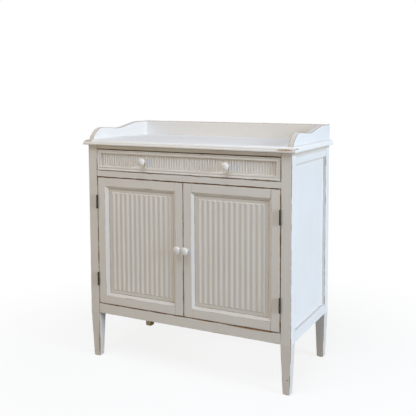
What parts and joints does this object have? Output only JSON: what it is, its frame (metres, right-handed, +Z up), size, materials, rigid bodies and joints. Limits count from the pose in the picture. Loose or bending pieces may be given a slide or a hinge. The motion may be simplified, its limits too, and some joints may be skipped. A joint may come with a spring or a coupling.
{
  "type": "sideboard",
  "caption": "Painted wooden sideboard with fluted cupboard doors under a full-width drawer, square tapered legs, moulded top edge and a low curved gallery on the top.",
  "frame": {"origin": "on the floor, under the middle of the whole object's bounding box (width by depth with the door knobs)", "axes": "+Z up, -Y towards the viewer out of the doors and the drawer, +X to the right as seen from the front"},
  "size_m": [0.896, 0.436, 0.9405],
  "materials": {
    "cream_paint": "off-white chalk paint, satin to matt, rubbed through to brown at edges",
    "bare_wood": "unpainted oiled softwood and plywood",
    "dark_steel": "aged dark brown steel",
    "bright_steel": "bright zinc-plated steel",
    "black_plastic": "matt black glide"
  },
  "bodies": {
    "carcass": {"front_left_leg": "cream_paint", "front_right_leg": "cream_paint", "back_left_leg": "cream_paint", "back_right_leg": "cream_paint", "top_front_rail": "cream_paint", "middle_front_rail": "cream_paint", "bottom_front_rail": "cream_paint", "left_side_top_rail": "cream_paint", "right_side_top_rail": "cream_paint", "left_side_bottom_rail": "cream_paint", "right_side_bottom_rail": "cream_paint", "left_side_panel": "cream_paint", "right_side_panel": "cream_paint", "top_board": "cream_paint", "gallery_left": "cream_paint", "gallery_right": "cream_paint", "gallery_back": "cream_paint", "back_panel": "bare_wood", "cabinet_floor": "bare_wood", "shelf": "bare_wood", "left_shelf_cleat": "bare_wood", "right_shelf_cleat": "bare_wood", "left_drawer_runner": "bare_wood", "right_drawer_runner": "bare_wood", "magnetic_catch": "dark_steel", "left_upper_hinge_frame_leaf": "dark_steel", "left_lower_hinge_frame_leaf": "dark_steel", "right_upper_hinge_frame_leaf": "dark_steel", "right_lower_hinge_frame_leaf": "dark_steel", "front_left_glide": "black_plastic", "front_right_glide": "black_plastic", "back_left_glide": "black_plastic", "back_right_glide": "black_plastic"},
    "drawer": {"drawer_front": "cream_paint", "drawer_left_knob": "cream_paint", "drawer_right_knob": "cream_paint", "drawer_left_side": "bare_wood", "drawer_right_side": "bare_wood", "drawer_back": "bare_wood", "drawer_bottom": "bare_wood"},
    "left_door": {"left_door_hinge_stile": "cream_paint", "left_door_meeting_stile": "cream_paint", "left_door_bottom_rail": "cream_paint", "left_door_top_rail": "cream_paint", "left_door_moulding": "cream_paint", "left_door_panel": "cream_paint", "left_door_knob": "cream_paint", "left_upper_hinge_door_leaf": "dark_steel", "left_lower_hinge_door_leaf": "dark_steel", "left_door_strike": "bright_steel"},
    "right_door": {"right_door_hinge_stile": "cream_paint", "right_door_meeting_stile": "cream_paint", "right_door_bottom_rail": "cream_paint", "right_door_top_rail": "cream_paint", "right_door_moulding": "cream_paint", "right_door_panel": "cream_paint", "right_door_knob": "cream_paint", "right_upper_hinge_door_leaf": "dark_steel", "right_lower_hinge_door_leaf": "dark_steel", "right_door_strike": "bright_steel"}
  },
  "joints": [
    {"name": "drawer_slide", "type": "slide", "parent": "carcass", "child": "drawer", "axis": [0, -1, 0], "range_m": [0, 0.29]},
    {"name": "left_door_hinge", "type": "hinge", "parent": "carcass", "child": "left_door", "pos_m": [-0.3899, -0.1963, 0.4805], "axis": [0, 0, -1], "range_deg": [0, 170]},
    {"name": "right_door_hinge", "type": "hinge", "parent": "carcass", "child": "right_door", "pos_m": [0.3899, -0.1963, 0.4805], "axis": [0, 0, 1], "range_deg": [0, 170]}
  ]
}
